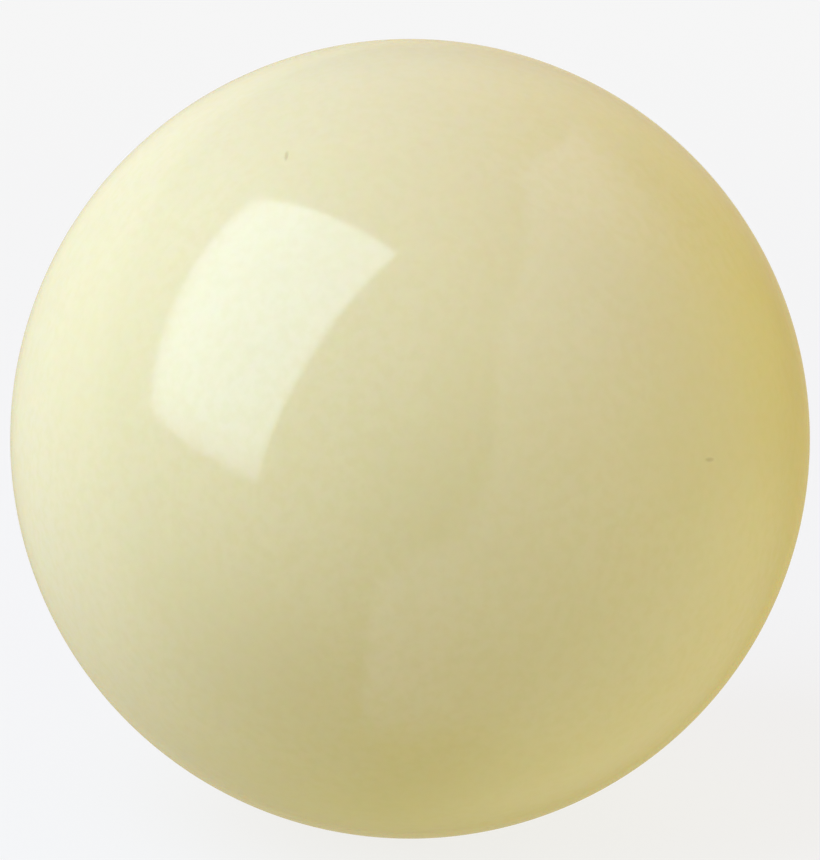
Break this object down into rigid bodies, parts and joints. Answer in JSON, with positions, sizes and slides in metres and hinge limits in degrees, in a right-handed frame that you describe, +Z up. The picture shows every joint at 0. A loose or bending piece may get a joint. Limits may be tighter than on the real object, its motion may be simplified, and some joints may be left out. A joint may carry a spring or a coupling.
{
  "type": "cue ball",
  "caption": "Plain pool cue ball: a polished ivory resin sphere cast round a steel core, held central by pins of the same resin that end flush with the surface.",
  "frame": {"origin": "centre of the ball", "axes": "+X along the two locating pins, out of the right-hand one; +Z up; the ball looks the same from every side, so -Y is called the front"},
  "size_m": [0.0572, 0.0572, 0.0572],
  "materials": {
    "ivory_resin": "polished",
    "pin_resin": "polished",
    "core_steel": "satin"
  },
  "bodies": {
    "root": {"resin_body": "ivory_resin", "steel_core": "core_steel", "locating_pin_left": "pin_resin", "locating_pin_right": "pin_resin"}
  },
  "joints": []
}
